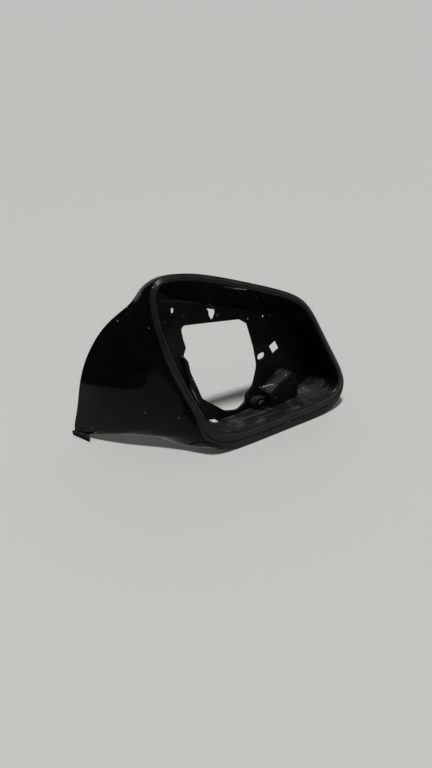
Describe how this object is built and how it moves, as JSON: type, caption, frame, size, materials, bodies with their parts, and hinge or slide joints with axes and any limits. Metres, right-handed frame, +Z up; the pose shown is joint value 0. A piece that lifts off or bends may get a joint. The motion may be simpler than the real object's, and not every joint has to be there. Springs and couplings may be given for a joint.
{
  "type": "wing mirror housing",
  "caption": "Gloss black car door mirror housing: a rim round the glass recess, a bulkhead with a motor opening and a cheek that sweeps over the mounting arm.",
  "frame": {"origin": "middle of the part's outline seen from above, on the ground that it stands on", "axes": "+Z up, -Y the way the glass opening faces, -X inboard towards the car's door"},
  "size_m": [0.2449, 0.1112, 0.1761],
  "materials": {
    "gloss_black_plastic": "moulded gloss black, dusty and finely scratched"
  },
  "bodies": {
    "root": {"housing": "gloss_black_plastic"}
  },
  "joints": []
}
